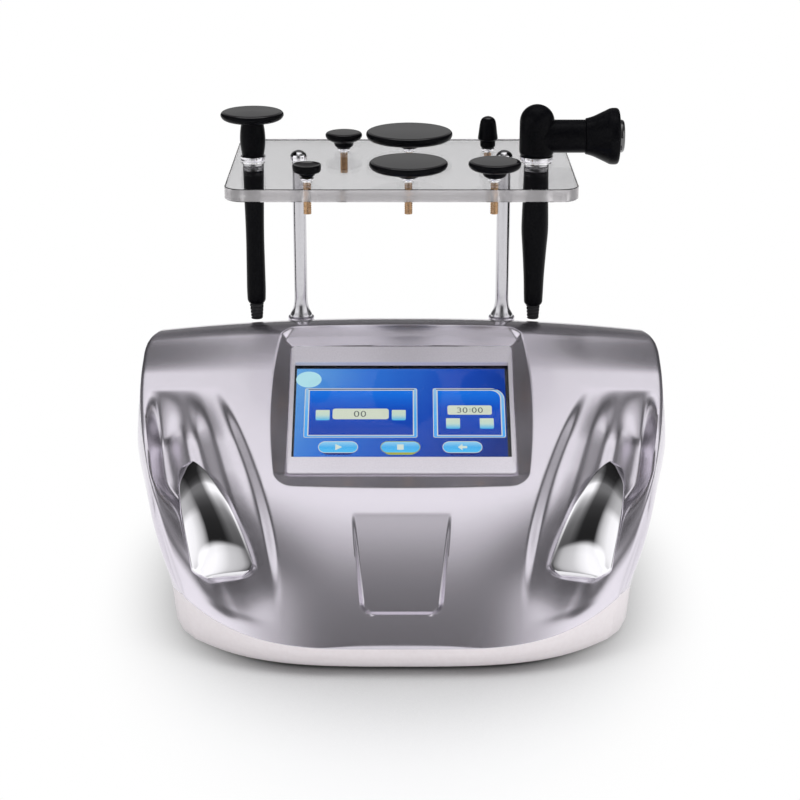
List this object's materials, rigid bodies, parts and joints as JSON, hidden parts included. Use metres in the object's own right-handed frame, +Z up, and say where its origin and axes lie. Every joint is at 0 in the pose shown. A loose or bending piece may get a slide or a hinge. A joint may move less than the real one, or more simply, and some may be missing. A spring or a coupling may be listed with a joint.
{
  "type": "facial toning device",
  "caption": "Desktop radio-frequency facial toning machine: silver pebble housing with touch screen, clear tray with handles and spare electrodes.",
  "frame": {"origin": "centre of the overall box, on the plane under the feet", "axes": "+X to the right seen from the front, +Y to the back, +Z up; the screen faces -Y"},
  "size_m": [0.386, 0.3218, 0.342],
  "materials": {
    "silver_shell": "metallic silver paint over moulded plastic, satin gloss",
    "pale_shell": "pale pinkish white moulded plastic",
    "pale_frame": "pale satin plastic",
    "touch_glass": "clear touch glass",
    "display": "lit display",
    "chrome": "mirror chrome",
    "bracket_steel": "zinc plated steel",
    "rubber": "black rubber",
    "panel_metal": "aluminium sheet",
    "circuit_board": "green circuit board",
    "copper": "enamelled copper winding",
    "black_plastic": "black moulded plastic",
    "red_plastic": "red rocker",
    "acrylic": "clear polished acrylic",
    "handle_black": "glossy black plastic",
    "electrode_black": "glossy black insulating coat",
    "brass": "turned and threaded brass"
  },
  "bodies": {
    "housing": {"top_shell": "silver_shell", "base_shell": "pale_shell", "screen_frame": "pale_frame", "touch_glass": "touch_glass", "lcd_module": "display", "inset_left": "chrome", "inset_right": "chrome", "post_left": "chrome", "post_right": "chrome", "post_caps": "chrome", "lcd_bracket": "bracket_steel", "case_screws": "bracket_steel", "panel_screws": "bracket_steel", "post_nuts": "bracket_steel", "fan_guard": "bracket_steel", "left_socket": "bracket_steel", "right_socket": "bracket_steel", "feet": "rubber", "rear_panel": "panel_metal", "heat_sink": "panel_metal", "power_supply": "panel_metal", "main_board": "circuit_board", "rf_board": "circuit_board", "rf_coil": "copper", "buzzer": "black_plastic", "fan_housing": "black_plastic", "mains_inlet": "black_plastic", "switch_housing": "black_plastic", "tray": "acrylic"},
    "left_handle": {"left_grip": "handle_black", "left_ring": "chrome", "left_strain_relief": "rubber"},
    "left_electrode": {"left_disc": "electrode_black", "left_disc_stem": "brass"},
    "right_handle": {"right_grip": "handle_black", "right_ring": "chrome", "right_strain_relief": "rubber", "right_elbow": "handle_black", "right_cone": "handle_black", "right_end_cap": "handle_black"},
    "cup_electrode": {"cup_head": "electrode_black", "cup_stem": "brass"},
    "wide_disc": {"wide_disc_head": "electrode_black", "wide_disc_stem": "brass"},
    "medium_disc": {"medium_disc_head": "electrode_black", "medium_disc_stem": "brass"},
    "small_disc": {"small_disc_head": "electrode_black", "small_disc_stem": "brass"},
    "large_disc": {"large_disc_head": "electrode_black", "large_disc_stem": "brass"},
    "bullet_electrode": {"bullet_head": "electrode_black", "bullet_stem": "brass"},
    "fan": {"fan_rotor": "black_plastic"},
    "rocker": {"rocker_switch": "red_plastic"},
    "fuse": {"fuse_drawer": "black_plastic"}
  },
  "joints": [
    {"name": "left_handle_lift", "type": "slide", "parent": "housing", "child": "left_handle", "axis": [0, 0, 1], "range_m": [0, 0.135]},
    {"name": "left_electrode_unscrew", "type": "slide", "parent": "left_handle", "child": "left_electrode", "axis": [0, 0, 1], "range_m": [0, 0.02]},
    {"name": "right_handle_lift", "type": "slide", "parent": "housing", "child": "right_handle", "axis": [0, 0, 1], "range_m": [0, 0.135]},
    {"name": "cup_lift", "type": "slide", "parent": "housing", "child": "cup_electrode", "axis": [0, 0, 1], "range_m": [0, 0.035]},
    {"name": "wide_disc_lift", "type": "slide", "parent": "housing", "child": "wide_disc", "axis": [0, 0, 1], "range_m": [0, 0.035]},
    {"name": "medium_disc_lift", "type": "slide", "parent": "housing", "child": "medium_disc", "axis": [0, 0, 1], "range_m": [0, 0.035]},
    {"name": "small_disc_lift", "type": "slide", "parent": "housing", "child": "small_disc", "axis": [0, 0, 1], "range_m": [0, 0.035]},
    {"name": "large_disc_lift", "type": "slide", "parent": "housing", "child": "large_disc", "axis": [0, 0, 1], "range_m": [0, 0.035]},
    {"name": "bullet_lift", "type": "slide", "parent": "housing", "child": "bullet_electrode", "axis": [0, 0, 1], "range_m": [0, 0.035]},
    {"name": "fan_spin", "type": "hinge", "parent": "housing", "child": "fan", "pos_m": [0.07, 0.118, 0.083], "axis": [0, 1, 0], "continuous": true},
    {"name": "power_rocker", "type": "hinge", "parent": "housing", "child": "rocker", "pos_m": [-0.029, 0.12354, 0.083], "axis": [0, 0, 1], "range_deg": [-14, 0]},
    {"name": "fuse_drawer_pull", "type": "slide", "parent": "housing", "child": "fuse", "axis": [0, 1, 0], "range_m": [0, 0.016]}
  ]
}
